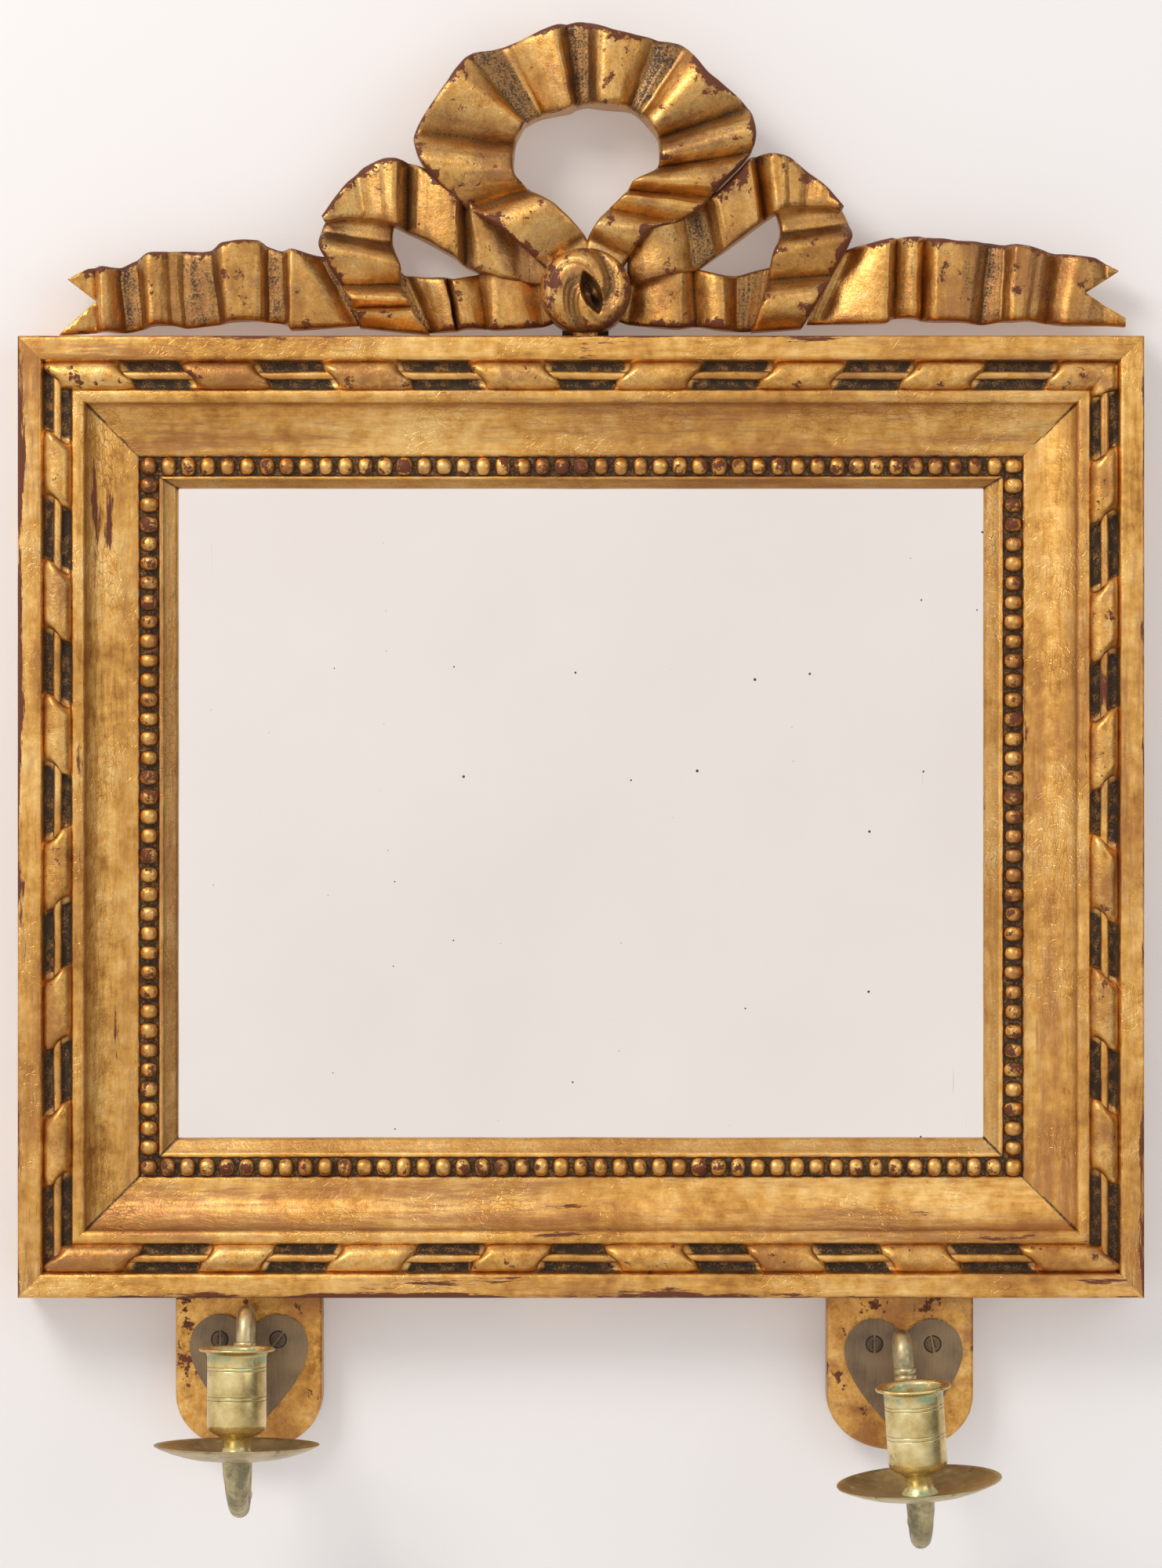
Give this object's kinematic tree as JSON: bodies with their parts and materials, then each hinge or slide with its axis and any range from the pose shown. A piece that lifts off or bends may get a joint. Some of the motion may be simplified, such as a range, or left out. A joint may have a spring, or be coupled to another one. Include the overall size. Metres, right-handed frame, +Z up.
{
  "type": "girandole mirror",
  "caption": "Small landscape wall mirror in a carved gilded frame with a pleated ribbon-bow crest and swivelling brass candle arms below.",
  "frame": {"origin": "centre of the frame's flat back face, on the wall plane, without the crest and the candle arms", "axes": "+Z up along the greatest height; +Y into the wall, out of the back face; +X to the right seen from the front"},
  "size_m": [0.48, 0.1256, 0.6461],
  "materials": {
    "gilded_wood": "water-gilded over red bole, worn",
    "bare_wood": "aged unfinished pine",
    "old_mirror": "old silvered glass",
    "forged_iron": "dark forged iron",
    "steel_screws": "darkened steel",
    "dark_bronze": "dark brown patina",
    "green_brass": "brass with green patina",
    "worn_brass": "polished worn brass"
  },
  "bodies": {
    "frame": {"frame_rail_top": "gilded_wood", "frame_rail_bottom": "gilded_wood", "frame_stile_left": "gilded_wood", "frame_stile_right": "gilded_wood", "mitre_keys": "bare_wood", "mirror_plate": "old_mirror", "glazing_strips": "bare_wood", "back_board": "bare_wood", "back_board_nails": "forged_iron", "crest_ribbon": "gilded_wood", "crest_knot": "gilded_wood", "crest_peg": "gilded_wood", "hanging_plate": "forged_iron", "hanging_screws": "steel_screws", "sconce_board_left": "gilded_wood", "sconce_board_right": "gilded_wood", "sconce_screws": "steel_screws", "heart_plate_left": "dark_bronze", "heart_plate_right": "dark_bronze", "heart_screws_left": "steel_screws", "heart_screws_right": "steel_screws"},
    "arm_left": {"candle_arm_left": "green_brass", "drip_pan_left": "green_brass", "candle_nozzle_left": "worn_brass"},
    "arm_right": {"candle_arm_right": "green_brass", "drip_pan_right": "green_brass", "candle_nozzle_right": "worn_brass"}
  },
  "joints": [
    {"name": "swivel_left", "type": "hinge", "parent": "frame", "child": "arm_left", "pos_m": [-0.1426, -0.024, -0.242], "axis": [0, 0.0436, 0.999], "range_deg": [-65, 65]},
    {"name": "swivel_right", "type": "hinge", "parent": "frame", "child": "arm_right", "pos_m": [0.1385, -0.024, -0.251], "axis": [-0.0697, -0.0523, 0.9962], "range_deg": [-65, 65]}
  ]
}
